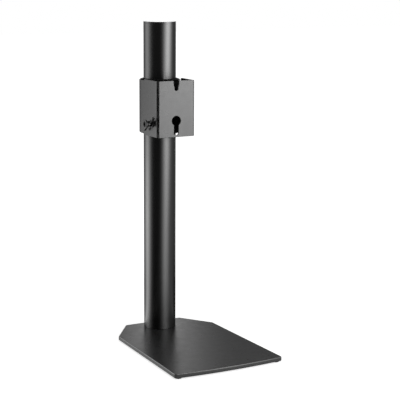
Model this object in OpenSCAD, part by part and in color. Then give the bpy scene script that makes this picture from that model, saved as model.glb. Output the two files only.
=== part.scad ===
/* [Base plate] */
// Depth of the plate from its back edge to the straight line between its front corners
base_depth = 253.5; // [200:0.5:320]
// Width across the front corners
base_front_w = 178; // [150:1:260]
// Width across the shoulders, where the sides turn in towards the back
base_shoulder_w = 167; // [130:1:240]
// Width of the back edge
base_back_w = 96; // [70:1:120]
// Distance of the shoulders from the back edge
shoulder_depth = 49.5; // [35:0.5:80]
// How far the front edge bows out beyond its corners
front_bow = 4.5; // [2:0.5:8]
// Thickness of the plate
base_t = 6; // [4:0.5:10]
// Radius of the plate's corners seen from above
base_corner_r = 4; // [3:0.5:8]
// Radius of the rounded upper rim
base_rim_r = 1.2; // [0.6:0.1:1.6]

/* [Column] */
// Outside diameter of the tube
column_d = 50; // [46:0.5:51]
// Wall of the tube
column_wall = 2; // [1.5:0.1:3]
// Height of the column above the plate, cap rim included
column_h = 483; // [420:1:700]
// Distance of the column's axis from the back edge of the plate
column_back = 25.5; // [25.5:0.5:40]

/* [Column foot] */
// Thickness of the steel disc welded into the foot of the tube
plug_h = 16; // [12:1:25]
// Diameter of the circle on which the plate screws stand
plate_screw_circle = 28; // [22:1:30]
// Nominal diameter of the plate screws
plate_screw_d = 6; // [5:1:8]
// Length of the plate screws, head included
plate_screw_l = 16; // [12:1:20]
// Diameter of the countersunk heads
plate_head_d = 11.5; // [10.5:0.5:13]

/* [Top cap] */
// Thickness of the rim that shows on top of the tube
cap_rim_t = 3; // [2:0.5:5]
// Length of the skirt inside the tube
cap_skirt_h = 14; // [8:1:25]
// Wall of the skirt
cap_skirt_wall = 2; // [1.5:0.1:3]
// Number of grip ribs round the skirt
cap_ribs = 8; // [6:1:12]

/* [Rubber feet] */
// Diameter of a foot pad
foot_d = 10; // [8:0.5:14]
// Thickness of a foot pad
foot_t = 2; // [1.5:0.1:4]
// Distance of a pad's centre from the corner beside it, across the plate
foot_side_inset = 8; // [7:0.5:14]
// Distance of a pad's centre from the corner beside it, along the plate
foot_end_inset = 6.5; // [6:0.5:14]

/* [Bracket sleeve] */
// Height of the sleeve
sleeve_h = 85.3; // [70:0.1:110]
// Height of the sleeve's lower edge above the plate
sleeve_bottom = 311; // [40:1:380]
// Distance of the front plate's face from the column's axis
sleeve_front = 56.5; // [52:0.5:70]
// Thickness of the sheet
sheet_t = 2.5; // [2:0.1:3]
// Outside radius of the bend at the front right corner
bend_r = 3.2; // [3.1:0.1:6]
// Opening between the inside of the front plate and the front end of the left side
seam_w = 2.2; // [1.5:0.1:5]
// How much the round back band is narrower at its upper and at its lower edge
band_drop = 2.1; // [1.5:0.1:4]
// Distance in front of the column's axis at which the band widens to the full sides
band_front = 9.2; // [8.5:0.1:11]
// Width of the cable notch in the top edge of the right side
cable_notch_w = 5.2; // [4:0.1:7]
// Depth of the cable notch
cable_notch_h = 8; // [5:0.5:14]

/* [Speaker holes] */
// Width of the open notch at the top edge of the front plate
notch_w = 9; // [7:0.5:12]
// Width of the notch's neck
notch_neck_w = 6; // [4:0.1:6.5]
// Depth of the whole notch
notch_h = 15.2; // [12:0.1:22]
// Depth of its wide part
notch_wide_h = 6; // [4:0.5:8]
// Height of the taper between the wide part and the neck
notch_taper_h = 4.2; // [3:0.1:5]
// Diameter of the keyhole's round opening
keyhole_d = 15; // [12:0.5:18]
// Width of the keyhole's slot
slot_w = 8; // [5:0.5:9]
// Height of the round opening's centre above the sleeve's lower edge
keyhole_z = 24.8; // [20:0.1:32]
// Distance from the round opening's centre down to the centre of the slot's round end
slot_drop = 18.4; // [15:0.1:20]

/* [Glide bushes] */
// Wall of the bushes between the tube and the sleeve
bush_wall = 3.9; // [3:0.1:5]
// Height of a bush below its collar
bush_h = 18; // [10:1:30]
// How far a collar stands out over the bush
collar_out = 1.3; // [1:0.1:1.5]
// Height of the collar's outer edge, below its slope
collar_edge = 0.5; // [0.3:0.1:0.8]

/* [Wing screw] */
// Nominal diameter of the clamping screw
screw_d = 6; // [5:1:8]
// Distance of the screw's axis in front of the column's axis
screw_front = 37; // [35:0.5:40]
// Height of the screw's axis above the sleeve's lower edge
screw_z = 20; // [17:0.5:40]
// Length of the screw's pin inside the sleeve's left side
screw_reach = 14; // [13:0.5:18]
// Diameter of the round head at the grip's outer end
head_d = 13.4; // [12:0.1:15]
// Thickness of that head
head_t = 2.2; // [1.5:0.1:3]
// Diameter of the hub between the head and the sleeve
hub_d = 9; // [8:0.1:11]
// Length of the grip along the screw
grip_h = 10.5; // [9:0.5:14]
// Span over both wings
wing_span = 41; // [32:1:44]
// Thickness of a wing
wing_t = 3; // [2.5:0.1:4]
// Height of a wing along the screw
wing_h = 5; // [4:0.1:6]
// How far a wing's tip bends up out of its straight line
wing_sweep = 2.5; // [0:0.1:4]
// Tilt of the wings from level, front wing up
wing_tilt = 29; // [0:1:90]
// Outside diameter of the washer
washer_d = 12; // [11:0.5:14]
// Thickness of the washer
washer_t = 1.6; // [1:0.1:2]

/* [Clamp lug] */
// Height of the angle inside the sleeve
lug_h = 26; // [20:1:30]
// Thickness of the angle
lug_t = 2.5; // [2:0.1:3]
// Distance between the sleeve's left side and the angle
lug_gap = 3.5; // [2:0.1:4]
// Length of the leg that lies on the front plate
lug_foot = 13; // [10:0.5:14]
// Distance from the front plate's inner face to the free end of the angle
lug_reach = 25; // [22:0.5:27]
// Width over the flats of the weld nut
nut_af = 10; // [9:0.5:11]
// Thickness of the weld nut
nut_t = 5; // [4:0.5:6]

/* [Clearances] */
// Radial clearance of everything that turns or slides on a fit
run_gap = 0.05; // [0.03:0.01:0.09]
// Radial clearance of screws in plain holes
hole_gap = 0.3; // [0.2:0.1:0.5]
// Gap left between flat faces that turn against each other
face_gap = 0.1; // [0.05:0.01:0.2]

/* [Hidden] */
$fn = 96;

// One overrun serves every cut
cut = 1;
// Number of straight pieces in a quarter of a faceted round
quarter_steps = 6;

column_r = column_d / 2;
tube_bore_r = column_r - column_wall;
tube_l = column_h - cap_rim_t;

// Plate outline, seen from the column's axis
back_y = column_back;
shoulder_y = back_y - shoulder_depth;
front_y = back_y - base_depth;
bow_r = pow(base_front_w / 2, 2) / (2 * front_bow) + front_bow / 2;

// Sleeve, seen from the column's axis
bush_r = column_r + run_gap + bush_wall;
band_in_r = bush_r + run_gap;
band_r = band_in_r + sheet_t;
bend_in_r = bend_r - sheet_t;
front_in = sleeve_front - sheet_t;
sleeve_top = sleeve_bottom + sleeve_h;
band_top = sleeve_top - band_drop;
band_bottom = sleeve_bottom + band_drop;
band_fillet_r = band_drop;
cable_notch_r = cable_notch_w / 2;
collar_r = bush_r + collar_out;
collar_h = band_drop - face_gap;

// Screw, seen from the sleeve's left face
screw_height = sleeve_bottom + screw_z;
screw_r = screw_d / 2;
screw_hole_r = screw_r + hole_gap;
grip_start = washer_t + 2 * face_gap;
lug_x = band_in_r - lug_gap;
nut_corner_r = nut_af / sqrt(3);
lug_bend_in_r = lug_t / 2;
lug_bend_r = lug_bend_in_r + lug_t;

// Small sizes that follow the piece that carries them
plate_hole_r = plate_screw_d / 2 + hole_gap;
head_h = (plate_head_d - plate_screw_d) / 2;
head_sink = plate_screw_d / 12;
head_socket_af = plate_screw_d * 2 / 3;
head_socket_h = plate_screw_d / 3;
plug_chamfer = plug_h / 10;
plug_recess_r = plate_screw_circle / 2 - plate_screw_d;
plug_recess_h = plug_h / 2;
foot_chamfer = foot_t / 4;
cap_edge_r = cap_rim_t / 4;
rib_proud = cap_skirt_wall / 4;
rib_w = cap_skirt_wall;
rib_lead = cap_skirt_h / 7;
dish_r = head_d / 3;
dish_h = head_t * 0.8;
head_edge = head_t / 5;
head_slope = head_t * 0.7;
wing_foot = wing_h / 10;
wing_edge = wing_t / 4;
wing_steps = 3;
shank_end_chamfer = screw_d / 8;
washer_edge = washer_t / 6;

// Height of the plate's upper face above the floor
plate_top = foot_t + base_t;
// The origin lies under the middle of the whole outline, which runs from the bowed front edge to the back band
front_reach = -front_y + front_bow;
back_reach = max(band_r, back_y);
axis_y = (front_reach - back_reach) / 2;

// Puts a piece drawn round the column's axis, with the plate's upper face at zero, into the frame
module on_plate() {
    translate([0, axis_y, plate_top]) children();
}

// Steps of the rounded rim: how far each lies inside the outline, and how far above the rim's start
function rim_inset(i) = base_rim_r * (1 - cos(90 * i / quarter_steps));
function rim_rise(i) = base_rim_r * sin(90 * i / quarter_steps);

// Centre of a corner's round, set in so that the round touches both straight sides
function unit(v) = v / norm(v);
function corner_centre(before, at, after, r) =
    let (a = unit(before - at), b = unit(after - at), half = acos(a * b) / 2)
    at + unit(a + b) * r / sin(half);

front_left = [-base_front_w / 2, front_y];
front_right = [base_front_w / 2, front_y];
shoulder_left = [-base_shoulder_w / 2, shoulder_y];
shoulder_right = [base_shoulder_w / 2, shoulder_y];
back_left = [-base_back_w / 2, back_y];
back_right = [base_back_w / 2, back_y];
outline = [front_left, front_right, shoulder_right, back_right, back_left, shoulder_left];

function round_centres() = [for (i = [0 : len(outline) - 1])
    corner_centre(outline[(i + len(outline) - 1) % len(outline)], outline[i],
        outline[(i + 1) % len(outline)], base_corner_r)];

// The plate's outline, set in all round by inset
module plate_outline(inset) {
    for (c = round_centres())
        translate(c) circle(r = base_corner_r - inset, $fn = 4 * quarter_steps);
    bow_half = asin((base_front_w / 2 - base_corner_r) / bow_r);
    bow_centre = front_y - front_bow + bow_r;
    polygon([for (i = [-quarter_steps : quarter_steps])
        let (a = bow_half * i / quarter_steps, r = bow_r - inset)
        [r * sin(a), bow_centre - r * cos(a)]]);
}

module base_plate() {
    sliver = base_rim_r / 100;
    color("#2b2b2c") on_plate() difference() {
        hull() {
            translate([0, 0, -base_t]) linear_extrude(base_t - base_rim_r) plate_outline(0);
            for (i = [1 : quarter_steps])
                translate([0, 0, -base_rim_r + rim_rise(i) - sliver])
                    linear_extrude(sliver) plate_outline(rim_inset(i));
        }
        for (i = [0 : 2]) plate_screw_place(i) {
            translate([0, 0, -cut]) cylinder(r = plate_hole_r, h = base_t + 2 * cut);
            countersink();
        }
    }
}

// Stands a plate screw's lower end on the underside of the plate
module plate_screw_place(i) {
    rotate([0, 0, 120 * i - 90]) translate([plate_screw_circle / 2, 0, -base_t]) children();
}

module countersink() {
    wide_r = plate_head_d / 2 + hole_gap;
    rotate_extrude() polygon([[0, -cut], [wide_r, -cut], [wide_r, head_sink],
        [plate_hole_r, head_sink + wide_r - plate_hole_r], [0, head_sink + wide_r - plate_hole_r]]);
}

module column_tube() {
    color("#232324") on_plate() difference() {
        cylinder(d = column_d, h = tube_l);
        translate([0, 0, -cut]) cylinder(r = tube_bore_r, h = tube_l + 2 * cut);
    }
}

module column_plug() {
    plug_r = tube_bore_r - run_gap;
    color("#6a6a6c") on_plate() difference() {
        rotate_extrude() polygon([[0, 0], [plug_r, 0], [plug_r, plug_h - plug_chamfer],
            [plug_r - plug_chamfer, plug_h], [0, plug_h]]);
        translate([0, 0, plug_h - plug_recess_h]) cylinder(r = plug_recess_r, h = plug_recess_h + cut);
        for (i = [0 : 2]) plate_screw_place(i)
            cylinder(r = plate_screw_d / 2 + run_gap, h = base_t + plug_h + cut);
    }
}

module column_screw(i) {
    shaft_r = plate_screw_d / 2;
    head_r = plate_head_d / 2;
    color("#3a3a3c") on_plate() plate_screw_place(i) translate([0, 0, head_sink]) difference() {
        rotate_extrude() polygon([[0, 0], [head_r, 0], [shaft_r, head_h],
            [shaft_r, plate_screw_l - head_socket_h / 4], [shaft_r - head_socket_h / 4, plate_screw_l],
            [0, plate_screw_l]]);
        translate([0, 0, -cut]) cylinder(d = head_socket_af * 2 / sqrt(3), h = head_socket_h + cut, $fn = 6);
    }
}

module column_screw_1() { column_screw(0); }
module column_screw_2() { column_screw(1); }
module column_screw_3() { column_screw(2); }

module top_cap() {
    skirt_r = tube_bore_r - rib_proud - run_gap;
    color("#1c1c1d") on_plate() translate([0, 0, tube_l]) {
        rotate_extrude() difference() {
            union() {
                square([column_r - cap_edge_r, cap_rim_t]);
                square([column_r, cap_rim_t - cap_edge_r]);
                translate([column_r - cap_edge_r, cap_rim_t - cap_edge_r]) circle(r = cap_edge_r);
            }
            translate([-column_r, 0]) square([column_r, cap_rim_t]);
        }
        translate([0, 0, -cap_skirt_h]) difference() {
            union() {
                cylinder(r = skirt_r, h = cap_skirt_h);
                for (i = [0 : cap_ribs - 1]) rotate([0, 0, 360 * i / cap_ribs])
                    translate([skirt_r - cap_skirt_wall / 2, -rib_w / 2, rib_lead])
                        cube([cap_skirt_wall / 2 + rib_proud - run_gap, rib_w, cap_skirt_h - rib_lead]);
            }
            translate([0, 0, -cut]) cylinder(r = skirt_r - cap_skirt_wall, h = cap_skirt_h + cut);
        }
    }
}

// A pad with its lower edge chamfered, under one corner of the plate
module foot(corner) {
    color("#151515") translate([corner[0], axis_y + corner[1], 0]) rotate_extrude()
        polygon([[0, 0], [foot_d / 2 - foot_chamfer, 0], [foot_d / 2, foot_chamfer],
            [foot_d / 2, foot_t], [0, foot_t]]);
}

foot_front_x = base_front_w / 2 - foot_side_inset;
foot_front_y = front_y + foot_end_inset;
foot_back_x = base_back_w / 2 - foot_side_inset;
foot_back_y = back_y - foot_end_inset;

module foot_front_left() { foot([-foot_front_x, foot_front_y]); }
module foot_front_right() { foot([foot_front_x, foot_front_y]); }
module foot_back_left() { foot([-foot_back_x, foot_back_y]); }
module foot_back_right() { foot([foot_back_x, foot_back_y]); }

// Half section of a bush: a ring on the tube, with a sloped collar that lies on the edge of the back band
module bush_section() {
    in_r = column_r + run_gap;
    polygon([[in_r, 0], [bush_r, 0], [bush_r, bush_h], [collar_r, bush_h],
        [collar_r, bush_h + collar_edge], [in_r + bush_wall / 4, bush_h + collar_h], [in_r, bush_h + collar_h]]);
}

module upper_bush() {
    color("#121212") on_plate() translate([0, 0, band_top - bush_h + face_gap])
        rotate_extrude() bush_section();
}

module lower_bush() {
    color("#121212") on_plate() translate([0, 0, band_bottom + bush_h - face_gap])
        mirror([0, 0, 1]) rotate_extrude() bush_section();
}

// Plan of the sleeve: half round behind, flat sides, square in front on the left, rounded in front on the right
module sleeve_plan(r, front, corner) {
    circle(r = r);
    translate([-r, -front]) square([2 * r - corner, front]);
    translate([-r, corner - front]) square([2 * r, front - corner]);
    translate([r - corner, corner - front]) circle(r = corner);
}

// The front plate ends level with the inside of the left side, and the left side ends short of the plate
module sleeve_wall() {
    difference() {
        sleeve_plan(band_r, sleeve_front, bend_r);
        sleeve_plan(band_in_r, front_in, bend_in_r);
        translate([-band_r - cut, -sleeve_front - cut]) square([sheet_t + cut, sheet_t + seam_w + cut]);
    }
}

// Cuts the left half of one edge of the back band lower, from start in front of the column's axis backwards,
// with a round where it meets the full side
module band_cut(start) {
    reach = band_r + cut;
    translate([-reach, -start, 0]) rotate([90, 0, 90]) linear_extrude(reach) difference() {
        translate([-band_fillet_r, 0]) square([start + band_r + band_fillet_r + cut, band_drop + cut]);
        translate([-band_fillet_r, 0]) circle(r = band_fillet_r);
    }
}

module cable_notch() {
    notch_front = band_front + cable_notch_r;
    translate([0, -notch_front, sleeve_top - cable_notch_h + cable_notch_r]) rotate([0, 90, 0]) {
        cylinder(r = cable_notch_r, h = band_r + cut);
        translate([-cable_notch_h - cut, -cable_notch_r, 0])
            cube([cable_notch_h + cut, cable_notch_w, band_r + cut]);
    }
}

// Outline of the open notch, measured down from the top edge
module speaker_notch() {
    neck_r = notch_neck_w / 2;
    polygon([[-notch_w / 2, cut], [notch_w / 2, cut], [notch_w / 2, -notch_wide_h],
        [neck_r, -notch_wide_h - notch_taper_h], [neck_r, neck_r - notch_h],
        [-neck_r, neck_r - notch_h], [-neck_r, -notch_wide_h - notch_taper_h], [-notch_w / 2, -notch_wide_h]]);
    translate([0, neck_r - notch_h]) circle(r = neck_r);
}

module keyhole() {
    circle(d = keyhole_d);
    translate([-slot_w / 2, -slot_drop]) square([slot_w, slot_drop]);
    translate([0, -slot_drop]) circle(d = slot_w);
}

// Share of the plan that the front plate takes, from the opening to where the right corner starts to bend
module front_share() {
    translate([-band_r - cut, -sleeve_front - cut])
        square([2 * band_r - bend_r + cut, sheet_t + seam_w / 2 + cut]);
}

// Cuts a flat outline through the front plate
module through_front() {
    translate([0, cut - front_in, 0]) rotate([90, 0, 0]) linear_extrude(sheet_t + 2 * cut) children();
}

module bracket_front() {
    color("#343434") on_plate() difference() {
        translate([0, 0, sleeve_bottom]) linear_extrude(sleeve_h) intersection() {
            sleeve_wall();
            front_share();
        }
        translate([0, 0, sleeve_top]) through_front() speaker_notch();
        translate([0, 0, sleeve_bottom + keyhole_z]) through_front() keyhole();
    }
}

// Sides and round back of the same folded sheet
module bracket_sleeve() {
    color("#303031") on_plate() difference() {
        translate([0, 0, sleeve_bottom]) linear_extrude(sleeve_h) difference() {
            sleeve_wall();
            front_share();
        }
        translate([0, 0, band_top]) {
            band_cut(band_front);
            mirror([1, 0, 0]) band_cut(band_front + cable_notch_w);
        }
        translate([0, 0, band_bottom]) mirror([0, 0, 1]) for (s = [0, 1]) mirror([s, 0, 0]) band_cut(band_front);
        cable_notch();
        along_screw(-sheet_t - cut) cylinder(r = screw_hole_r, h = sheet_t + 2 * cut);
    }
}

// The screw's axis, pointing out of the left side; height zero lies on the sheet's outer face
module along_screw(out) {
    translate([-band_r - out, -screw_front, screw_height]) rotate([0, -90, 0]) children();
}

// Angle with a rounded bend, its foot on the inside of the front plate and its leg beside the left wall
module clamp_lug() {
    leg_l = lug_reach - lug_bend_r;
    foot_l = lug_foot - lug_bend_r;
    color("#3c3c3e") on_plate() difference() {
        translate([-lug_x, -front_in, screw_height - lug_h / 2]) linear_extrude(lug_h) {
            translate([0, lug_bend_r]) square([lug_t, leg_l]);
            translate([lug_bend_r, 0]) square([foot_l, lug_t]);
            translate([lug_bend_r, lug_bend_r]) intersection() {
                difference() {
                    circle(r = lug_bend_r);
                    circle(r = lug_bend_in_r);
                }
                translate([-lug_bend_r, -lug_bend_r]) square([lug_bend_r, lug_bend_r]);
            }
        }
        along_screw(-screw_reach - sheet_t) cylinder(r = screw_hole_r, h = screw_reach);
    }
}

module lug_nut() {
    depth = sheet_t + lug_gap + lug_t + nut_t;
    color("#77777a") on_plate() along_screw(-depth) difference() {
        cylinder(r = nut_corner_r, h = nut_t, $fn = 6);
        translate([0, 0, -cut]) cylinder(r = screw_r + run_gap, h = nut_t + 2 * cut);
    }
}

module screw_washer() {
    in_r = screw_r + run_gap;
    out_r = washer_d / 2;
    color("#5c5c5e") on_plate() along_screw(face_gap) rotate_extrude()
        polygon([[in_r, 0], [out_r, 0], [out_r, washer_t - washer_edge], [out_r - washer_edge, washer_t],
            [in_r, washer_t]]);
}

module screw_shank() {
    inside = sheet_t + screw_reach;
    outside = grip_start + (grip_h - head_t) * 0.8;
    color("#4a4a4c") on_plate() along_screw(-inside) rotate_extrude()
        polygon([[0, 0], [screw_r - shank_end_chamfer, 0], [screw_r, shank_end_chamfer],
            [screw_r, inside + outside], [0, inside + outside]]);
}

// Place on a wing's centre line, as a share of its length: outwards, and sideways with the sweep
function wing_place(share) =
    let (r = wing_span / 2 - wing_t / 2) [r * share, wing_sweep * share * share];

// One slice of a wing, an upright disc column with its upper and lower edges drawn in
module wing_slice(share, h) {
    translate(wing_place(share)) {
        translate([0, 0, wing_foot + wing_edge]) cylinder(d = wing_t, h = h - 2 * wing_edge, $fn = 32);
        translate([0, 0, wing_foot]) cylinder(d = wing_t - wing_edge, h = h, $fn = 32);
    }
}

module wing() {
    for (i = [0 : wing_steps - 1]) hull() {
        wing_slice(i / wing_steps, wing_h);
        wing_slice((i + 1) / wing_steps, wing_h);
    }
}

module hub() {
    neck_h = grip_h - head_t - head_slope;
    rotate_extrude() polygon([[0, 0], [hub_d / 2, 0], [hub_d / 2, neck_h],
        [head_d / 2 - head_edge, grip_h - head_t], [head_d / 2, grip_h - head_t + head_edge],
        [head_d / 2, grip_h - head_edge], [head_d / 2 - head_edge, grip_h], [dish_r, grip_h],
        [dish_r - head_edge, grip_h - dish_h], [0, grip_h - dish_h]]);
}

module wing_grip() {
    color("#0e0e0f") on_plate() along_screw(grip_start) rotate([0, 0, wing_tilt]) difference() {
        union() {
            hub();
            for (a = [0, 180]) rotate([0, 0, 90 + a]) wing();
        }
        translate([0, 0, -cut]) cylinder(r = screw_r, h = (grip_h - head_t) * 0.8 + cut);
    }
}

base_plate();
column_tube();
column_plug();
column_screw_1();
column_screw_2();
column_screw_3();
top_cap();
foot_front_left();
foot_front_right();
foot_back_left();
foot_back_right();
upper_bush();
lower_bush();
bracket_front();
bracket_sleeve();
clamp_lug();
lug_nut();
screw_washer();
screw_shank();
wing_grip();
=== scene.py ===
from collections import namedtuple
from math import acos, ceil, cos, log, pi, radians, sin, sqrt, tan

import bmesh
import bpy
from mathutils import Matrix, Vector


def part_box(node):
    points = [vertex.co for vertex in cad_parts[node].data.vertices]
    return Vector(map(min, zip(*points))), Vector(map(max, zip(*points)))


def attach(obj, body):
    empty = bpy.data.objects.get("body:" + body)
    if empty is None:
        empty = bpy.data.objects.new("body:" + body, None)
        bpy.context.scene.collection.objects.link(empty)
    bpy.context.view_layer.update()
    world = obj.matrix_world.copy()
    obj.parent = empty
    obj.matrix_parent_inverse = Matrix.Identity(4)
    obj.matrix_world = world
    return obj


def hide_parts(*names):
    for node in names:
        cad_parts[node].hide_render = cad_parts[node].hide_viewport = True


bl_info = {
    "name": "Speaker stand",
    "version": (1, 0, 0),
    "blender": (4, 5, 0),
    "location": "View3D > Sidebar > Stand",
    "description": "Desktop speaker stand with a clamping bracket, dressed over its packed frame",
    "category": "Object",
}

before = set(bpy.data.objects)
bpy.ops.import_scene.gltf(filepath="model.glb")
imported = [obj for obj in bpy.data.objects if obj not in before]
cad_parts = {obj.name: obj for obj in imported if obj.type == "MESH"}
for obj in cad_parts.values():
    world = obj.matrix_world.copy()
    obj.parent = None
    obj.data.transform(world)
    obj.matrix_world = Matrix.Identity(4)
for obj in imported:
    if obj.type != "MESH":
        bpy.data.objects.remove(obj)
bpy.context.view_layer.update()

# Places that the frame gives, in metres
PLATE_LOW, PLATE_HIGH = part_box("base_plate")
COLUMN_LOW, COLUMN_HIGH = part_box("column_tube")
CAP_LOW, CAP_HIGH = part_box("top_cap")
SLEEVE_LOW, SLEEVE_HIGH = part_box("bracket_sleeve")
FRONT_LOW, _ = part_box("bracket_front")
WASHER_LOW, WASHER_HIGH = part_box("screw_washer")
SHANK_LOW, SHANK_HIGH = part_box("screw_shank")
GRIP_LOW, GRIP_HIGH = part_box("wing_grip")
LUG_LOW, LUG_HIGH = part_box("clamp_lug")
NUT_LOW, NUT_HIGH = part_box("lug_nut")
AXIS = (COLUMN_LOW + COLUMN_HIGH) / 2
SCREW_AXIS = (SHANK_LOW + SHANK_HIGH) / 2

FEET = ("foot_front_left", "foot_front_right", "foot_back_left", "foot_back_right")
PLATE_SCREWS = ("column_screw_1", "column_screw_2", "column_screw_3")


def size(name, default, description):
    """A length that the user can change, in metres."""
    return bpy.props.FloatProperty(name=name, description=description, default=default, min=0.0,
                                   precision=5, unit="LENGTH", subtype="DISTANCE")


def tint(name, default, description):
    """A paint or material colour that the user can change."""
    return bpy.props.FloatVectorProperty(name=name, description=description, default=default,
                                         size=3, min=0.0, max=1.0, subtype="COLOR")


def angle(name, default, description):
    """An angle that the user can change, with its default in degrees."""
    return bpy.props.FloatProperty(name=name, description=description, default=radians(default),
                                   subtype="ANGLE", unit="ROTATION")


def level(name, default, description, **limits):
    """A brightness that the user can change."""
    return bpy.props.FloatProperty(name=name, description=description, default=default, min=0.0,
                                   **limits)


class PlateSettings(bpy.types.PropertyGroup):
    """Sizes and colours of the base plate and its pads"""
    front_width: size("Front width", 0.178, "Width over the two front corners")
    shoulder_width: size("Shoulder width", 0.167, "Width where the sides start to draw in")
    back_width: size("Back width", 0.096, "Width of the back edge")
    shoulder_depth: size("Shoulder depth", 0.0495, "Distance from the back edge to the shoulders")
    bow: size("Front bow", 0.0045, "How far the front edge bows out")
    corner_radius: size("Corner radius", 0.004, "Radius of the corners in plan")
    rim_radius: size("Rim radius", 0.0012, "Rounding of the upper edge")
    pad_diameter: size("Pad diameter", 0.010, "Diameter of a foot pad")
    paint: tint("Paint", (0.0065, 0.0065, 0.0067), "Colour of the plate's paint")
    rubber: tint("Rubber", (0.012, 0.012, 0.0125), "Colour of the pads")


class ColumnSettings(bpy.types.PropertyGroup):
    """Sizes and colours of the column and its end cap"""
    diameter: size("Diameter", COLUMN_HIGH.x - COLUMN_LOW.x, "Outer diameter of the tube")
    wall: size("Wall", 0.002, "Wall thickness of the tube")
    length: size("Length", COLUMN_HIGH.z - COLUMN_LOW.z, "Length of the tube without its cap")
    edge: size("Edge rounding", 0.0003, "Rounding of the tube's cut ends")
    paint: tint("Paint", (0.001, 0.001, 0.001), "Colour of the tube's gloss paint")
    plastic: tint("Cap plastic", (0.004, 0.004, 0.0041), "Colour of the end cap")


class BracketSettings(bpy.types.PropertyGroup):
    """Sizes and colours of the folded sheet bracket and its bushes"""
    sheet: size("Sheet", 0.0025, "Thickness of the sheet")
    bend: size("Bend radius", 0.0032, "Outer radius of the front right corner")
    seam: size("Opening", 0.0009, "Gap between the front plate and the end of the left side")
    curl: size("Curl radius", 0.0042, "Radius to which the free end of the left side is rolled in")
    curl_length: size("Curl length", 0.0026, "Length of that rolled end")
    edge: size("Edge rounding", 0.0005, "Rounding of the cut edges")
    band_drop: size("Band drop", 0.0021, "How far the back band's edges lie inside the sides")
    band_front: size("Band front", 0.0092, "Where the back band starts, in front of the axis")
    cable_notch: size("Cable notch", 0.0052, "Width of the cable notch in the right side")
    cable_depth: size("Cable notch depth", 0.008, "Depth of the cable notch")
    mouth: size("Notch mouth", 0.009, "Width of the notch in the front plate at the top edge")
    mouth_depth: size("Mouth depth", 0.006, "Depth of the notch's wide part")
    neck: size("Notch neck", 0.006, "Width of the notch's narrow part")
    neck_top: size("Neck top", 0.0102, "Depth at which the narrow part begins")
    notch_depth: size("Notch depth", 0.0152, "Depth of the whole notch")
    keyhole: size("Keyhole", 0.015, "Diameter of the keyhole's round opening")
    keyhole_rise: size("Keyhole rise", 0.0248, "Height of its centre above the lower edge")
    slot: size("Slot", 0.008, "Width of the keyhole's slot")
    slot_drop: size("Slot drop", 0.0184, "From that centre down to the slot's round end")
    paint: tint("Paint", (0.016, 0.016, 0.0161), "Colour of the bracket's satin paint")
    bush: tint("Bush plastic", (0.0015, 0.0015, 0.0015), "Colour of the two bushes")


class WingScrewSettings(bpy.types.PropertyGroup):
    """Sizes and colours of the wing screw and its washer"""
    thread: size("Thread", 0.006, "Outer diameter of the thread")
    pitch: size("Pitch", 0.001, "Distance that one turn travels")
    head: size("Head", 0.0134, "Diameter of the grip's outer head")
    hub: size("Hub", 0.009, "Diameter of the hub behind the head")
    span: size("Wing span", 0.041, "Length over both wings")
    wing: size("Wing thickness", 0.003, "Thickness of a wing")
    sweep: size("Wing sweep", 0.0025, "How far a wing's tip bends out of line")
    tilt: angle("Tilt", 29, "Turn of the wings at rest")
    plastic: tint("Grip plastic", (0.001, 0.001, 0.001), "Colour of the grip")
    steel: tint("Steel", (0.34, 0.34, 0.35), "Colour of the bare steel pieces")
    black_steel: tint("Blackened steel", (0.045, 0.045, 0.048), "Colour of the blackened pieces")


class StageSettings(bpy.types.PropertyGroup):
    """Camera, floor, lamps and the tent that shows in the gloss"""
    camera_place: bpy.props.FloatVectorProperty(
        name="Camera", description="Place of the camera", size=3, subtype="TRANSLATION",
        unit="LENGTH", default=(-0.84872, -1.60645, 0.5771))
    camera_turn: angle("Turn", -28.34, "Camera's turn about the upright")
    camera_tip: angle("Tip", 79.17, "Camera's tip, level at 90 degrees")
    camera_roll: angle("Roll", 0.33, "Camera's roll")
    lens: bpy.props.FloatProperty(name="Lens", description="Focal length on a 36 mm sensor",
                                  default=111.03, min=10.0)
    front_lamp: level("Front lamp", 2.2, "Brightness of the soft lamp in front")
    back_lamp: level("Back lamp", 0.8, "Brightness of the soft lamp behind")
    top_lamp: level("Top lamp", 1.2, "Brightness of the soft lamp overhead")
    ambient: level("Ambient", 0.12, "Brightness of the light from all round")
    shade_radius: size("Shade radius", 0.4, "Distance up to which the floor keeps its shadows")
    floor_glow: level("Floor glow", 0.74, "White that the floor shows near the stand", max=1.0)
    tent_radius: size("Tent radius", 0.33, "Radius of the cloth tent that shows in the gloss")
    tent_height: size("Tent height", 0.6, "Height of the tent")
    tent_base: level("Tent base", 0.22, "Brightness of the tent between its lamps")
    front_glow: level("Front glow", 2.0, "Brightness of the front lamp through the tent")
    back_glow: level("Back glow", 6.1, "Brightness of the back lamp through the tent")
    side_glow: level("Side glow", 0.6, "Brightness of the tent on the right side")
    paper_glow: level("Paper glow", 1.0, "Brightness of the paper beside the plate in the gloss")
    rear_glow: level("Rear glow", 0.95, "Brightness of the narrow lamp behind the stand")


# ---- Outlines ----

# One point of an outline: its place, the way out of the material, and how far an inset stretches there
Rim = namedtuple("Rim", "x y out_x out_y stretch")


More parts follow.
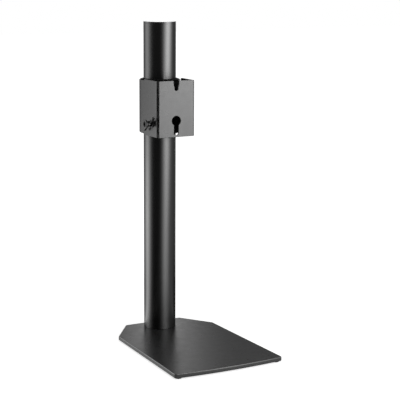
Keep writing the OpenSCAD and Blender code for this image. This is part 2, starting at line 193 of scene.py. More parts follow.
def rounded(corners, fineness=radians(9)):
    """Points round a closed outline given as (x, y, corner radius), with the material on its left."""
    rim = []
    count = len(corners)
    for i, (x, y, radius) in enumerate(corners):
        here = Vector((x, y))
        back = Vector(corners[i - 1][:2]) - here
        ahead = Vector(corners[(i + 1) % count][:2]) - here
        back.normalize()
        ahead.normalize()
        turn = pi - acos(max(-1.0, min(1.0, back.dot(ahead))))
        side_in = Vector((-back.y, back.x))
        side_out = Vector((ahead.y, -ahead.x))
        convex = back.x * ahead.y - back.y * ahead.x < 0
        if radius <= 0 or turn < radians(0.5):
            way = (side_in + side_out).normalized()
            rim.append(Rim(x, y, way.x, way.y, 1 / max(0.2, way.dot(side_out))))
            continue
        centre = here + (back + ahead).normalized() * radius / cos(turn / 2)
        steps = max(2, ceil(turn / fineness))
        sign = 1 if convex else -1
        start = side_in * sign
        for k in range(steps + 1):
            a = sign * turn * k / steps
            spoke = Vector((start.x * cos(a) - start.y * sin(a), start.x * sin(a) + start.y * cos(a)))
            point = centre + spoke * radius
            rim.append(Rim(point.x, point.y, spoke.x * sign, spoke.y * sign, 1.0))
    return rim


def hollow_arc(x, y, radius, start, sweep, steps):
    """Points along an arc that has the material outside it."""
    turns = [start + sweep * i / steps for i in range(steps + 1)]
    return [Rim(x + radius * cos(a), y + radius * sin(a), -cos(a), -sin(a), 1.0) for a in turns]


def round_hole(x, y, radius, steps=48):
    """Points round a hole, run clockwise so that the material lies on their left."""
    return hollow_arc(x, y, radius, 0.0, -2 * pi, steps)[:-1]


def eased(thickness, low, high, steps=4):
    """Levels of a flat body's edge as (inset, height, out, up), rounded to low and high radii."""
    turns = [pi / 2 * i / steps for i in range(steps + 1)]
    return ([(low * (1 - sin(a)), low * (1 - cos(a)), sin(a), -cos(a)) for a in turns]
            + [(high * (1 - cos(a)), thickness - high * (1 - sin(a)), cos(a), sin(a))
               for a in turns])


# ---- Meshes ----

def flat_body(outlines):
    """A closed flat body as a bmesh; each outline comes with the levels of its edge.

    The float vector layer "facing" holds the exact normal of every vertex.
    """
    body = bmesh.new()
    facing = body.verts.layers.float_vector.new("facing")
    floors, tops = [], []
    for rim, levels in outlines:
        rows = []
        for inset, height, out, up in levels:
            row = []
            for p in rim:
                reach = inset * p.stretch
                vertex = body.verts.new((p.x - p.out_x * reach, p.y - p.out_y * reach, height))
                vertex[facing] = Vector((p.out_x * out, p.out_y * out, up)).normalized()
                row.append(vertex)
            rows.append(row)
        for low, high in zip(rows, rows[1:]):
            for i in range(len(rim)):
                j = (i + 1) % len(rim)
                body.faces.new((low[i], low[j], high[j], high[i]))
        for ring, edges in ((rows[0], floors), (rows[-1], tops)):
            edges += [body.edges.get((ring[i - 1], ring[i])) for i in range(len(ring))]
    for edges in (floors, tops):
        bmesh.ops.triangle_fill(body, use_beauty=True, use_dissolve=False, edges=edges)
    bmesh.ops.recalc_face_normals(body, faces=body.faces)
    return body


def turned_body(rim, steps=96):
    """A body turned round the upright axis from an outline of radius and height."""
    body = bmesh.new()
    facing = body.verts.layers.float_vector.new("facing")
    columns = []
    for i in range(steps):
        a = 2 * pi * i / steps
        column = []
        for p in rim:
            on_axis = p.x < 1e-7
            if on_axis and i:
                column.append(columns[0][len(column)])
                continue
            vertex = body.verts.new((p.x * cos(a), p.x * sin(a), p.y))
            vertex[facing] = ((0, 0, 1 if p.out_y > 0 else -1) if on_axis
                              else (p.out_x * cos(a), p.out_x * sin(a), p.out_y))
            column.append(vertex)
        columns.append(column)
    join_round(body, columns)
    return body


def join_round(body, columns):
    """Joins closed columns of points with faces, all the way round."""
    for here, there in zip(columns, columns[1:] + columns[:1]):
        for j in range(len(here)):
            k = (j + 1) % len(here)
            if here[j] is there[j] and here[k] is there[k]:
                continue
            corners = [here[j], there[j], there[k], here[k]]
            body.faces.new(list(dict.fromkeys(corners)))
    bmesh.ops.recalc_face_normals(body, faces=body.faces)


def finished_mesh(name, body, exact=True, sharp=radians(35)):
    """Turns a bmesh into a smooth mesh, with the normals of its facing layer or sharp edges."""
    mesh = bpy.data.meshes.new(name)
    body.to_mesh(mesh)
    body.free()
    mesh.shade_smooth()
    if exact:
        take_facing(mesh)
    else:
        mesh.set_sharp_from_angle(angle=sharp)
    return mesh


def take_facing(mesh):
    """Makes the facing layer the mesh's own vertex normals, then drops the layer."""
    facing = mesh.attributes["facing"]
    values = [0.0] * (3 * len(mesh.vertices))
    facing.data.foreach_get("vector", values)
    normals = [values[i:i + 3] for i in range(0, len(values), 3)]
    mesh.attributes.remove(facing)
    mesh.normals_split_custom_set_from_vertices(normals)


def add_object(name, mesh):
    """Links a new object that holds the mesh."""
    piece = bpy.data.objects.new(name, mesh)
    bpy.context.scene.collection.objects.link(piece)
    return piece


def dress(piece, look):
    """Gives the piece one finish."""
    piece.data.materials.clear()
    piece.data.materials.append(finish_for(look))


def new_piece(name, body, place, look):
    """A new object from a bmesh moved to its place, with its finish."""
    bmesh.ops.translate(body, verts=body.verts, vec=place)
    piece = add_object(name, finished_mesh(name, body))
    dress(piece, look)
    return piece


def settle(piece, body, finish, *nodes):
    """Puts a finished piece on its body in place of its CAD nodes."""
    if not piece.data.polygons:
        raise RuntimeError(f"{piece.name} has no faces")
    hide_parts(*nodes)
    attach(piece, body)


def plain_copy(piece):
    """Replaces the object's mesh by its evaluated one and drops its modifiers."""
    depsgraph = bpy.context.evaluated_depsgraph_get()
    made = bpy.data.meshes.new_from_object(piece.evaluated_get(depsgraph),
                                           preserve_all_data_layers=True, depsgraph=depsgraph)
    piece.modifiers.clear()
    piece.data = made
    made.name = piece.name
    return made


def bored(piece, name, corners, depth):
    """Cuts a straight hole into the piece, from the corners of its near end along the depth."""
    prism = bmesh.new()
    near = prism.faces.new([prism.verts.new(corner) for corner in corners])
    pushed = bmesh.ops.extrude_face_region(prism, geom=[near])["geom"]
    bmesh.ops.translate(prism, verts=[v for v in pushed if isinstance(v, bmesh.types.BMVert)],
                        vec=depth)
    bmesh.ops.recalc_face_normals(prism, faces=prism.faces)
    tool = add_object(name, finished_mesh(name, prism, False))
    hole = piece.modifiers.new(name, "BOOLEAN")
    hole.operation = "DIFFERENCE"
    hole.solver = "EXACT"
    hole.object = tool
    mesh = plain_copy(piece)
    bpy.data.objects.remove(tool)
    return mesh


# ---- Node trees ----

def fill(tree, node, inputs):
    """Sets the node's inputs to values, or feeds them from sockets and terms."""
    for label, value in inputs.items():
        if isinstance(value, Term):
            value = value.socket
        if isinstance(value, bpy.types.NodeSocket):
            tree.links.new(value, node.inputs[label])
        else:
            node.inputs[label].default_value = value
    return node


def add_node(tree, kind, inputs):
    """A new node with its inputs filled."""
    return fill(tree, tree.nodes.new(kind), inputs)


class Term:
    """A number inside a node tree, to which plain arithmetic adds Math nodes."""

    def __init__(self, tree, socket):
        self.tree = tree
        self.socket = socket

    def apply(self, operation, *others):
        """Adds one Math node to this number and the others."""
        node = add_node(self.tree, "ShaderNodeMath", dict(enumerate((self, *others))))
        node.operation = operation
        return Term(self.tree, node.outputs[0])

    def __add__(self, other):
        return self.apply("ADD", other)

    def __sub__(self, other):
        return self.apply("SUBTRACT", other)

    def __mul__(self, other):
        return self.apply("MULTIPLY", other)

    def __truediv__(self, other):
        return self.apply("DIVIDE", other)

    def clamped(self, low, high):
        """This number held between low and high."""
        return self.apply("MAXIMUM", low).apply("MINIMUM", high)


def terms_of(tree, vector):
    """The x, y and z of a vector socket as numbers."""
    split = add_node(tree, "ShaderNodeSeparateXYZ", {0: vector})
    return [Term(tree, number) for number in split.outputs]


def node_group(name, sizes):
    """A Geometry Nodes tree with a geometry, a material and the named sizes as its inputs."""
    tree = bpy.data.node_groups.new(name, "GeometryNodeTree")
    tree.is_modifier = True
    face = tree.interface
    face.new_socket("Geometry", in_out="INPUT", socket_type="NodeSocketGeometry")
    for label in sizes:
        face.new_socket(label, in_out="INPUT", socket_type="NodeSocketFloat").subtype = "DISTANCE"
    face.new_socket("Finish", in_out="INPUT", socket_type="NodeSocketMaterial")
    face.new_socket("Geometry", in_out="OUTPUT", socket_type="NodeSocketGeometry")
    source = tree.nodes.new("NodeGroupInput")
    given = {label: Term(tree, source.outputs[label]) for label in sizes}
    return tree, source, given


def end_group(tree, source, geometry):
    """Closes a tree with Realize Instances and Set Material."""
    real = add_node(tree, "GeometryNodeRealizeInstances", {"Geometry": geometry})
    finish = add_node(tree, "GeometryNodeSetMaterial", {"Geometry": real.outputs["Geometry"],
                                                        "Material": source.outputs["Finish"]})
    add_node(tree, "NodeGroupOutput", {"Geometry": finish.outputs["Geometry"]})
    return tree


def run_group(piece, tree, finish, **sizes):
    """Runs a tree on the object and keeps its result as a plain mesh."""
    modifier = piece.modifiers.new(tree.name, "NODES")
    modifier.node_group = tree
    for item in tree.interface.items_tree:
        if item.in_out != "INPUT":
            continue
        label = item.name.lower().replace(" ", "_")
        if label in sizes:
            modifier[item.identifier] = sizes[label]
        elif item.name == "Finish":
            modifier[item.identifier] = finish
    return plain_copy(piece)


def position_terms(tree):
    """The x, y and z of the geometry's points as numbers."""
    return terms_of(tree, tree.nodes.new("GeometryNodeInputPosition").outputs[0])


def moved_to(tree, geometry, x, y, z):
    """Sets the geometry's points to three computed numbers."""
    place = add_node(tree, "ShaderNodeCombineXYZ", {"X": x, "Y": y, "Z": z})
    node = add_node(tree, "GeometryNodeSetPosition", {"Geometry": geometry,
                                                      "Position": place.outputs["Vector"]})
    return node.outputs["Geometry"]


def folding_group():
    """Folds a flat strip round the column: front plate, corner, side, half round, side and curl."""
    tree, source, given = node_group("sleeve_folding", ["Front", "Band Radius", "Bend Radius",
                                                        "Curl Start", "Curl Radius"])
    front, band, bend = given["Front"], given["Band Radius"], given["Bend Radius"]
    along, deep, height = position_terms(tree)
    flat_end = band - bend
    bend_end = flat_end + bend * (pi / 2)
    side = front - bend
    side_end = bend_end + side
    half = side_end + band * (pi / 2)
    around = (along + half).apply("FLOORED_MODULO", half * 2) - half
    run = around.apply("ABSOLUTE")
    hand = around.apply("SIGN")
    on_left_end = along.apply("LESS_THAN", 0.0)
    first = ((run - flat_end) / bend).clamped(0.0, pi / 2) * (on_left_end * -1.0 + 1.0)
    past = (along - given["Curl Start"]).apply("MAXIMUM", 0.0)
    third = past / given["Curl Radius"]
    straight = (run + past - bend_end).clamped(0.0, side)
    second = ((run - side_end) / band).clamped(0.0, pi / 2)
    in_bend = bend - deep
    in_band = band - deep
    in_curl = given["Curl Radius"] - deep
    x = run.apply("MINIMUM", flat_end + on_left_end * bend) + in_bend * first.apply("SINE")
    x = hand * (x + in_band * (second.apply("COSINE") - 1.0))
    x = x - in_curl * (third.apply("COSINE") - 1.0)
    y = deep - front + in_bend * (first.apply("COSINE") * -1.0 + 1.0)
    y = y + straight + in_band * second.apply("SINE") - in_curl * third.apply("SINE")
    return end_group(tree, source, moved_to(tree, source.outputs["Geometry"], x, y, height))


def tube_group():
    """A tube whose wall section, with rounded ends, is run round a circle."""
    tree, source, given = node_group("column_tube", ["Diameter", "Wall", "Length", "Edge"])
    middle = (given["Diameter"] - given["Wall"]) / 2.0
    ring = add_node(tree, "GeometryNodeCurvePrimitiveCircle", {"Resolution": 160, "Radius": middle})
    wall = add_node(tree, "GeometryNodeCurvePrimitiveQuadrilateral", {"Width": given["Wall"],
                                                                      "Height": given["Length"]})
    ease = tree.nodes.new("GeometryNodeFilletCurve")
    ease.mode = "POLY"
    fill(tree, ease, {"Count": 3, "Curve": wall.outputs["Curve"], "Radius": given["Edge"]})
    sweep = add_node(tree, "GeometryNodeCurveToMesh", {"Curve": ring.outputs["Curve"],
                                                       "Profile Curve": ease.outputs["Curve"]})
    return end_group(tree, source, sweep.outputs["Mesh"])


def thread_group():
    """Cuts a thread into an upright rod, running out towards both ends."""
    tree, source, given = node_group("screw_thread", ["Diameter", "Pitch", "Depth", "Length"])
    x, y, z = position_terms(tree)
    bearing = y.apply("ARCTAN2", x)
    radius = (x * x + y * y).apply("SQRT")
    turn = (z / given["Pitch"] - bearing / (2 * pi)).apply("FRACT")
    ridge = (turn - 0.5).apply("ABSOLUTE") * 2.0
    from_start = (z / given["Pitch"]).clamped(0.0, 1.0)
    from_end = ((given["Length"] - z) / given["Pitch"]).clamped(0.0, 1.0)
    on_skin = radius.apply("GREATER_THAN", given["Diameter"] * 0.45)
    groove = ridge.clamped(0.15, 0.9) * given["Depth"] * on_skin
    taper = (from_start.apply("MULTIPLY", from_end) * -1.0 + 1.0) * given["Depth"] * on_skin
    cut = groove.apply("MAXIMUM", taper)
    scale = (radius - cut) / radius.apply("MAXIMUM", 1e-6)
    return end_group(tree, source,
                     moved_to(tree, source.outputs["Geometry"], x * scale, y * scale, z))


def places_group(name, template):
    """Puts one copy of the template object on every point of the geometry."""
    tree, source, _ = node_group(name, [])
    info = add_node(tree, "GeometryNodeObjectInfo", {"Object": template})
    info.transform_space = "ORIGINAL"
    put = add_node(tree, "GeometryNodeInstanceOnPoints", {"Points": source.outputs["Geometry"],
                                                          "Instance": info.outputs["Geometry"]})
    return end_group(tree, source, put.outputs["Instances"])


# ---- Finishes ----

def blank_material(name):
    """A new material with an empty tree, the socket that it shows and the object coordinates."""
    material = bpy.data.materials.new(name)
    material.use_nodes = True
    tree = material.node_tree
    tree.nodes.clear()
    shown = tree.nodes.new("ShaderNodeOutputMaterial").inputs["Surface"]
    place = tree.nodes.new("ShaderNodeTexCoord").outputs["Object"]
    return material, tree, shown, place


def grain(tree, place, scale, detail=2.0, stretch=None):
    """A noise of about 1 / scale metres, stretched along an axis where asked."""
    if stretch:
        mapping = add_node(tree, "ShaderNodeMapping", {"Scale": stretch, "Vector": place})
        place = mapping.outputs["Vector"]
    noise = add_node(tree, "ShaderNodeTexNoise", {"Scale": scale, "Detail": detail, "Vector": place})
    return noise.outputs["Fac"]


def spread(tree, value, low, high):
    """The middle of a noise's range spread from low to high."""
    node = add_node(tree, "ShaderNodeMapRange", {"Value": value, "From Min": 0.3, "From Max": 0.7,
                                                 "To Min": low, "To Max": high})
    return node.outputs["Result"]


def two_tone(tree, value, colour, swing):
    """The colour made darker and lighter by the share swing."""
    mix = tree.nodes.new("ShaderNodeMix")
    mix.data_type = "RGBA"
    fill(tree, mix, {"A": (*[c * (1 - swing) for c in colour], 1),
                     "B": (*[c * (1 + swing) for c in colour], 1),
                     "Factor": spread(tree, value, 0.0, 1.0)})
    return mix.outputs["Result"]


def raised(tree, value, distance):
    """Bump of the given depth in metres."""
    bump = add_node(tree, "ShaderNodeBump", {"Height": value, "Distance": distance, "Strength": 1.0})
    return bump.outputs["Normal"]


def wandering(name, colour, rough, gloss, tone, swing, haze, relief, depth):
    """A finish whose tone, roughness and height wander; each noise is a scale and a detail."""
    material, tree, shown, place = blank_material(name)
    surface = add_node(tree, "ShaderNodeBsdfPrincipled", {
        "Base Color": two_tone(tree, grain(tree, place, *tone), colour, swing),
        "Roughness": spread(tree, grain(tree, place, *haze), *rough),
        "Specular IOR Level": gloss,
        "Normal": raised(tree, grain(tree, place, *relief), depth)})
    tree.links.new(surface.outputs["BSDF"], shown)
    return material


def sprayed_paint(name, colour, rough, peel_size, peel_depth, gloss=0.5):
    """Baked paint with a slight orange peel."""
    return wandering(name, colour, rough, gloss, (22.0, 3.0), 0.12, (90.0, 4.0),
                     (1 / peel_size, 1.0), peel_depth)


def drawn_paint(name, colour, rough, peel_size, peel_depth, streak):
    """Baked paint on a drawn tube, whose gloss runs out further along the tube than round it."""
    material = sprayed_paint(name, colour, rough, peel_size, peel_depth)
    tree = material.node_tree
    along = add_node(tree, "ShaderNodeCombineXYZ", {"Z": 1.0})
    fill(tree, tree.nodes["Principled BSDF"], {"Tangent": along.outputs["Vector"],
                                               "Anisotropic": streak})
    return material


def moulded_plastic(name, colour, rough, gloss=0.5, pore_size=0.0006, pore_depth=0.000012):
    """Moulded plastic or rubber with fine pores."""
    return wandering(name, colour, rough, gloss, (60.0, 2.0), 0.15, (180.0, 3.0),
                     (1 / pore_size, 2.0), pore_depth)


def worked_steel(name, colour, rough, stretch=(1.0, 1.0, 12.0)):
    """Machined steel with fine drawn lines."""
    material, tree, shown, place = blank_material(name)
    lines = grain(tree, place, 300.0, 3.0, stretch)
    surface = add_node(tree, "ShaderNodeBsdfPrincipled", {
        "Base Color": two_tone(tree, lines, colour, 0.2), "Roughness": spread(tree, lines, *rough),
        "Metallic": 1.0, "Normal": raised(tree, lines, 0.00001)})
    tree.links.new(surface.outputs["BSDF"], shown)
    return material


def finish_for(name):
    """The material of one finish, made on first use; its own name keeps it apart from the CAD's."""
    look = name + "_look"
    if look in bpy.data.materials:
        return bpy.data.materials[look]
    stand = bpy.context.scene.speaker_stand
    plate, column, bracket, screw = stand.plate, stand.column, stand.bracket, stand.wing_screw
    # Maker, colour, lowest and highest roughness, then what else that maker takes
    maker, *values = {
        "plate_paint": (sprayed_paint, plate.paint, (0.27, 0.35), 0.0022, 0.000006),
        "column_paint": (drawn_paint, column.paint, (0.2, 0.25), 0.0020, 0.000004, 1.0),
        "bracket_paint": (sprayed_paint, bracket.paint, (0.26, 0.34), 0.0014, 0.000006, 0.35),
        "cap_plastic": (moulded_plastic, column.plastic, (0.14, 0.2), 0.5, 0.001, 0.000003),
        "pad_rubber": (moulded_plastic, plate.rubber, (0.6, 0.8)),
        "bush_plastic": (moulded_plastic, bracket.bush, (0.6, 0.75), 0.03),
        "grip_plastic": (moulded_plastic, screw.plastic, (0.16, 0.24), 0.24, 0.0012, 0.000004),
        "bare_steel": (worked_steel, screw.steel, (0.25, 0.4)),
        "blackened_steel": (worked_steel, screw.black_steel, (0.35, 0.5)),
    }[name]
    return maker(look, *values)


# ---- Plate, pads and plate screws ----

def plate_rim(plate):
    """Outline of the base plate seen from above: bowed front, shoulders and narrow back."""
    front = PLATE_LOW.y + plate.bow
    back = PLATE_HIGH.y
    shoulder = back - plate.shoulder_depth
    half = plate.front_width / 2
    bow_radius = half ** 2 / (2 * plate.bow) + plate.bow / 2
    corner = plate.corner_radius
    reach = half - 2.2 * corner
    steps = 14
    points = [(-half, front, corner)]
    for i in range(-steps, steps + 1):
        x = reach * i / steps
        points.append((x, front - plate.bow + bow_radius - sqrt(bow_radius ** 2 - x ** 2), 0))
    points += [(half, front, corner), (plate.shoulder_width / 2, shoulder, corner),
               (plate.back_width / 2, back, corner), (-plate.back_width / 2, back, corner),
               (-plate.shoulder_width / 2, shoulder, corner)]
    return rounded(points)


def middles(nodes):
    """The middles of the nodes' boxes."""
    return [(low + high) / 2 for low, high in (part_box(node) for node in nodes)]


def copies(name, pattern, nodes, height, look):
    """A new object with a copy of the pattern at every node's middle in plan."""
    mesh = bpy.data.meshes.new(name)
    mesh.from_pydata([(p.x, p.y, height) for p in middles(nodes)], [], [])
    piece = add_object(name, mesh)
    run_group(piece, places_group(name + "_places", pattern), finish_for(look))
    bpy.data.objects.remove(pattern)
    return piece


class STAND_OT_plate(bpy.types.Operator):
    """Make the base plate with its rounded rim and countersunk screw holes"""
    bl_idname = "speaker_stand.plate"
    bl_label = "Base plate"

    def execute(self, context):
        plate = context.scene.speaker_stand.plate
        thick = PLATE_HIGH.z - PLATE_LOW.z
        inside_box, lower_edge = 0.00002, 0.0003
        edge = [(inset + inside_box, height, out, up)
                for inset, height, out, up in eased(thick, lower_edge, plate.rim_radius, 6)]
        # Radii of the holes and of the screw heads that are sunk in them from below
        hole, head = 0.0033, 0.00605
        sink, ease, land = head - hole, 0.0002, 0.0005
        levels = [(sink + ease, 0, 0, -1), (sink, ease, 0.9, -0.4), (sink, land, 0.9, -0.4),
                  (0, land + sink, 0.9, -0.4), (0, land + sink + 2 * ease, 1, 0),
                  (0, thick - 2 * ease, 1, 0), (0, thick - ease, 1, 0.1), (ease, thick, 0, 1)]
        outlines = [(plate_rim(plate), edge)]
        for place in middles(PLATE_SCREWS):
            outlines.append((round_hole(place.x, place.y, hole), levels))
        piece = new_piece("plate", flat_body(outlines), (0, 0, PLATE_LOW.z), "plate_paint")
        settle(piece, "stand", "base_paint", "base_plate")
        return {"FINISHED"}


class STAND_OT_pads(bpy.types.Operator):
    """Make the four foot pads as copies of one turned pad"""
    bl_idname = "speaker_stand.pads"
    bl_label = "Foot pads"

    def execute(self, context):
        plate = context.scene.speaker_stand.plate
        radius = plate.pad_diameter / 2
        high = PLATE_LOW.z
        rim = rounded([(0, 0, 0), (radius, 0, 0.0005), (radius, high, 0.0001), (0, high, 0)])
        pattern = add_object("pad_pattern", finished_mesh("pad_pattern", turned_body(rim, 64)))
        settle(copies("pads", pattern, FEET, 0, "pad_rubber"), "stand", "foot_rubber", *FEET)
        return {"FINISHED"}


def hexagon(across):
    """The corners of a hexagonal hole, run clockwise."""
    radius = across / sqrt(3)
    return [(radius * cos(-pi / 3 * i), radius * sin(-pi / 3 * i)) for i in range(6)]


class STAND_OT_plate_screws(bpy.types.Operator):
    """Make the three countersunk screws under the plate as copies of one screw"""
    bl_idname = "speaker_stand.plate_screws"
    bl_label = "Plate screws"

    def execute(self, context):
        low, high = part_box(PLATE_SCREWS[0])
        length = high.z - low.z
        head, shaft = (high.x - low.x) / 2, 0.003
        slope = head - shaft
        across, socket_start, socket_depth = 0.004, -0.001, 0.003
        rim = rounded([(0, 0, 0), (head, 0, 0.0001), (head, 0.0001, 0.0001), (shaft, slope, 0.0003),
                       (shaft, length, 0.0005), (0, length, 0)])
        body = turned_body(rim, 64)
        pattern = add_object("screw_pattern", finished_mesh("screw_pattern", body, False))
        corners = [(x, y, socket_start) for x, y in hexagon(across)]
        bored(pattern, "socket", corners, (0, 0, socket_depth)).set_sharp_from_angle(angle=radians(30))
        screws = copies("plate_screws", pattern, PLATE_SCREWS, low.z, "blackened_steel")
        settle(screws, "stand", "black_steel", *PLATE_SCREWS)
        return {"FINISHED"}


# ---- Column ----

class STAND_OT_column(bpy.types.Operator):
    """Make the column's tube by running its wall section round a circle"""
    bl_idname = "speaker_stand.column"
    bl_label = "Column tube"

    def execute(self, context):
        column = context.scene.speaker_stand.column
        tube = add_object("column", bpy.data.meshes.new("column"))
        mesh = run_group(tube, tube_group(), finish_for("column_paint"), diameter=column.diameter,
                         wall=column.wall, length=column.length, edge=column.edge)
        mesh.transform(Matrix.Translation((AXIS.x, AXIS.y, (COLUMN_LOW.z + COLUMN_HIGH.z) / 2)))
        body = bmesh.new()
        body.from_mesh(mesh)
        # A row of short faces at either end keeps the shading of the long ones even
        for height in (COLUMN_LOW.z + 0.001, COLUMN_HIGH.z - 0.001):
            bmesh.ops.bisect_plane(body, geom=body.verts[:] + body.edges[:] + body.faces[:],
                                   plane_co=(0, 0, height), plane_no=(0, 0, 1))
        bmesh.ops.recalc_face_normals(body, faces=body.faces)
        body.to_mesh(mesh)
        body.free()
        mesh.shade_smooth()
        mesh.set_sharp_from_angle(angle=radians(60))
        settle(tube, "stand", "column_paint", "column_tube")
        return {"FINISHED"}


class STAND_OT_cap(bpy.types.Operator):
    """Make the end cap: a low crowned lid with a skirt inside the tube"""
    bl_idname = "speaker_stand.cap"
    bl_label = "End cap"

    def execute(self, context):
        column = context.scene.speaker_stand.column
        radius = column.diameter / 2
        seat, top, foot = COLUMN_HIGH.z, CAP_HIGH.z, CAP_LOW.z
        clearance, skirt, crown = 0.00055, 0.002, 0.0001
        inside = radius - column.wall - clearance
        rim = rounded([(0, seat - crown, 0), (inside - skirt, seat - crown, 0.0008),
                       (inside - skirt, foot, 0.0003), (inside, foot, 0.0006),
                       (inside, seat, 0.0001), (radius, seat, 0.00015),
                       (radius, top - crown, 0.00075), (radius * 0.86, top, 0.002),
                       (0, top, 0)])
        piece = new_piece("cap", turned_body(rim, 160), (AXIS.x, AXIS.y, 0), "cap_plastic")
        settle(piece, "stand", "cap_plastic", "top_cap")
        return {"FINISHED"}


class STAND_OT_hidden_fixing(bpy.types.Operator):
    """Give the steel disc in the column's foot its bare steel finish"""
    bl_idname = "speaker_stand.hidden_fixing"
    bl_label = "Column disc"

    def execute(self, context):
        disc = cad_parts["column_plug"]
        disc.material_slots[0].material = finish_for("bare_steel")
        return {"FINISHED"}


# ---- Bracket ----

class STAND_OT_bushes(bpy.types.Operator):
    """Make the two turned bushes with their sloped collars"""
    bl_idname = "speaker_stand.bushes"
    bl_label = "Bushes"

    def execute(self, context):
        # Radii; the ring is slightly slimmer than the CAD's, so that the turning sheet clears it
        bore, ring, collar = 0.02505, 0.02885, 0.03025
        for node, name, flipped in (("upper_bush", "upper_ring", False),
                                    ("lower_bush", "lower_ring", True)):
            low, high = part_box(node)
            tall = high.z - low.z
            seat = tall - 0.002
            rim = rounded([(bore, 0, 0.0003), (ring, 0, 0.0003), (ring, seat, 0.0001),
                           (collar, seat, 0.0002), (collar, seat + 0.0006, 0.0003),
                           (bore + 0.001, tall, 0.0004), (bore, tall, 0.0003)])
            body = turned_body(rim, 160)
            if flipped:
                over = Matrix.Rotation(pi, 3, "X")
                bmesh.ops.rotate(body, verts=body.verts, matrix=over)
                turn_facing(body, over)
            place = (AXIS.x, AXIS.y, high.z if flipped else low.z)
            piece = new_piece(name, body, place, "bush_plastic")
            settle(piece, "bushes", "bush_plastic", node)
        return {"FINISHED"}


def turn_facing(body, turn):
    """Turns the facing layer with a body that was turned."""
    facing = body.verts.layers.float_vector["facing"]
    for vertex in body.verts:
        vertex[facing] = turn @ vertex[facing]


# Radius of the holes that the wing screw passes through
SCREW_HOLE = 0.0033


class Strip:
    """Lengths along the bracket's sheet, measured round its outer face from the front's middle."""

    def __init__(self, bracket):
        self.front = AXIS.y - FRONT_LOW.y
        self.band = SLEEVE_HIGH.x - AXIS.x
        self.bend = bracket.bend
        self.flat_end = self.band - self.bend
        self.bend_end = self.flat_end + self.bend * pi / 2
        self.side_end = self.bend_end + self.front - self.bend
        self.half = self.side_end + self.band * pi / 2
        self.start = bracket.sheet - self.band
        self.end = self.left(self.front - bracket.sheet - bracket.seam)
        self.curl = bracket.curl
        self.curl_start = self.end - bracket.curl_length

    def right(self, before_axis):
        """Place on the right side, the given distance in front of the column's axis."""
        return self.bend_end + self.front - self.bend - before_axis

    def left(self, before_axis):
        """Place on the left side, the given distance in front of the column's axis."""
        return 2 * self.half - self.right(before_axis)

    def turn(self, along):
        """How far the sheet has turned from the front plate at that length."""
        if along < 0:
            return 0.0
        around = (along + self.half) % (2 * self.half) - self.half
        run, hand = abs(around), (1 if around >= 0 else -1)
        first = min(max((run - self.flat_end) / self.bend, 0), pi / 2)
        second = min(max((run - self.side_end) / self.band, 0), pi / 2)
        return hand * (first + second) + max(0, along - self.curl_start) / self.curl

    def creases(self):
        """Lengths at which the flat sheet is cut into narrow faces for the bends."""
        marks = [self.flat_end + (self.bend_end - self.flat_end) * i / 10 for i in range(11)]
        band = [self.side_end + (self.half - self.side_end) * i / 28 for i in range(29)]
        curl = [self.curl_start + (self.end - self.curl_start) * i / 6 for i in range(6)]
        return marks + band + [2 * self.half - m for m in band[:-1]] + curl


def strip_rim(strip, bracket):
    """Outline of the flat sheet, along and up, with the notches in its edges."""
    low, high = SLEEVE_LOW.z, SLEEVE_HIGH.z
    drop, ease, soft = bracket.band_drop, 0.0003, 0.0008
    # The round band between these two places lies lower at the top and higher at the foot
    right, left = strip.right(bracket.band_front), strip.left(bracket.band_front)
    step, inner = drop - ease, ease * 0.9
    cable = strip.right(bracket.band_front + bracket.cable_notch)
    cable_foot, cable_end = high - bracket.cable_depth, bracket.cable_notch * 0.499
    mouth, neck = bracket.mouth / 2, bracket.neck / 2
    mouth_foot, neck_top = high - bracket.mouth_depth, high - bracket.neck_top
    notch_foot, notch_end = high - bracket.notch_depth, neck - 0.00001
    return rounded([
        (strip.start, low, soft), (right, low, step), (right, low + drop, inner),
        (left, low + drop, inner), (left, low, step), (strip.end, low, soft),
        (strip.end, high, soft), (left, high, step), (left, high - drop, inner),
        (right, high - drop, soft * 0.75), (right, cable_foot, cable_end),
        (cable, cable_foot, cable_end), (cable, high, drop),
        (mouth, high, soft / 2), (mouth, mouth_foot, soft), (neck, neck_top, soft),
        (neck, notch_foot, notch_end), (-neck, notch_foot, notch_end),
        (-neck, neck_top, soft), (-mouth, mouth_foot, soft), (-mouth, high, soft / 2),
        (strip.start, high, soft)])


def keyhole_rim(bracket):
    """Outline of the keyhole, run clockwise: a round opening over a narrower slot."""
    centre = SLEEVE_LOW.z + bracket.keyhole_rise
    foot = centre - bracket.slot_drop
    big, small = bracket.keyhole / 2, bracket.slot / 2
    gap = acos(sqrt(1 - (small / big) ** 2))
    return (hollow_arc(0, centre, big, -pi / 2 - gap, 2 * gap - 2 * pi, 48)
            + hollow_arc(0, foot, small, 0.0, -pi, 24))


